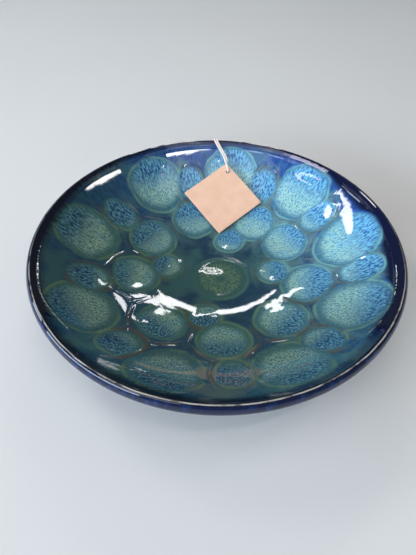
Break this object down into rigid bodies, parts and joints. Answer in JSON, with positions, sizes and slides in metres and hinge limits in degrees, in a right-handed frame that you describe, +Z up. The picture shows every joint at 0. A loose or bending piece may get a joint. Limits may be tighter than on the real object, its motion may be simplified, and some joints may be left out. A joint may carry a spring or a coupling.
{
  "type": "serving bowl",
  "caption": "Shallow round stoneware serving bowl with rings of pressed hollows under glossy blue-green glaze, a trimmed foot ring, and a square card tag hung over the rim on string.",
  "frame": {"origin": "centre of the foot ring's resting plane, on the bowl's axis", "axes": "+Z up along the bowl's axis, +Y from the middle towards the side of the rim that the tag hangs over, +X to the right of someone facing that side"},
  "size_m": [0.2994, 0.3041, 0.0679],
  "materials": {
    "stoneware": "bare speckled stoneware, matt",
    "well_glaze": "glossy reactive blue-green glaze, pooled pale in the hollows and breaking tan on the ridges",
    "rim_glaze": "glossy dark navy glaze, breaking tan on the crest of the rim",
    "card": "uncoated peach card, bare",
    "cotton": "twisted cotton string, pinkish cream"
  },
  "bodies": {
    "bowl": {"clay_body": "stoneware", "well_glaze": "well_glaze", "rim_glaze": "rim_glaze", "base_glaze": "rim_glaze", "string_fall_left": "cotton", "string_fall_right": "cotton", "string_knot": "cotton"},
    "string": {"string_leg_left": "cotton", "string_leg_right": "cotton"},
    "tag": {"swing_tag": "card", "string_eye": "cotton"}
  },
  "joints": [
    {"name": "string_swing", "type": "hinge", "parent": "bowl", "child": "string", "pos_m": [-0.0045, 0.14563, 0.0672], "axis": [0.0193, -0.6236, 0.7815], "range_deg": [-20, 20]},
    {"name": "tag_lift", "type": "hinge", "parent": "string", "child": "tag", "pos_m": [0.00668, 0.12649, 0.05533], "axis": [-0.9863, -0.1628, -0.0245], "range_deg": [0, 75]}
  ]
}
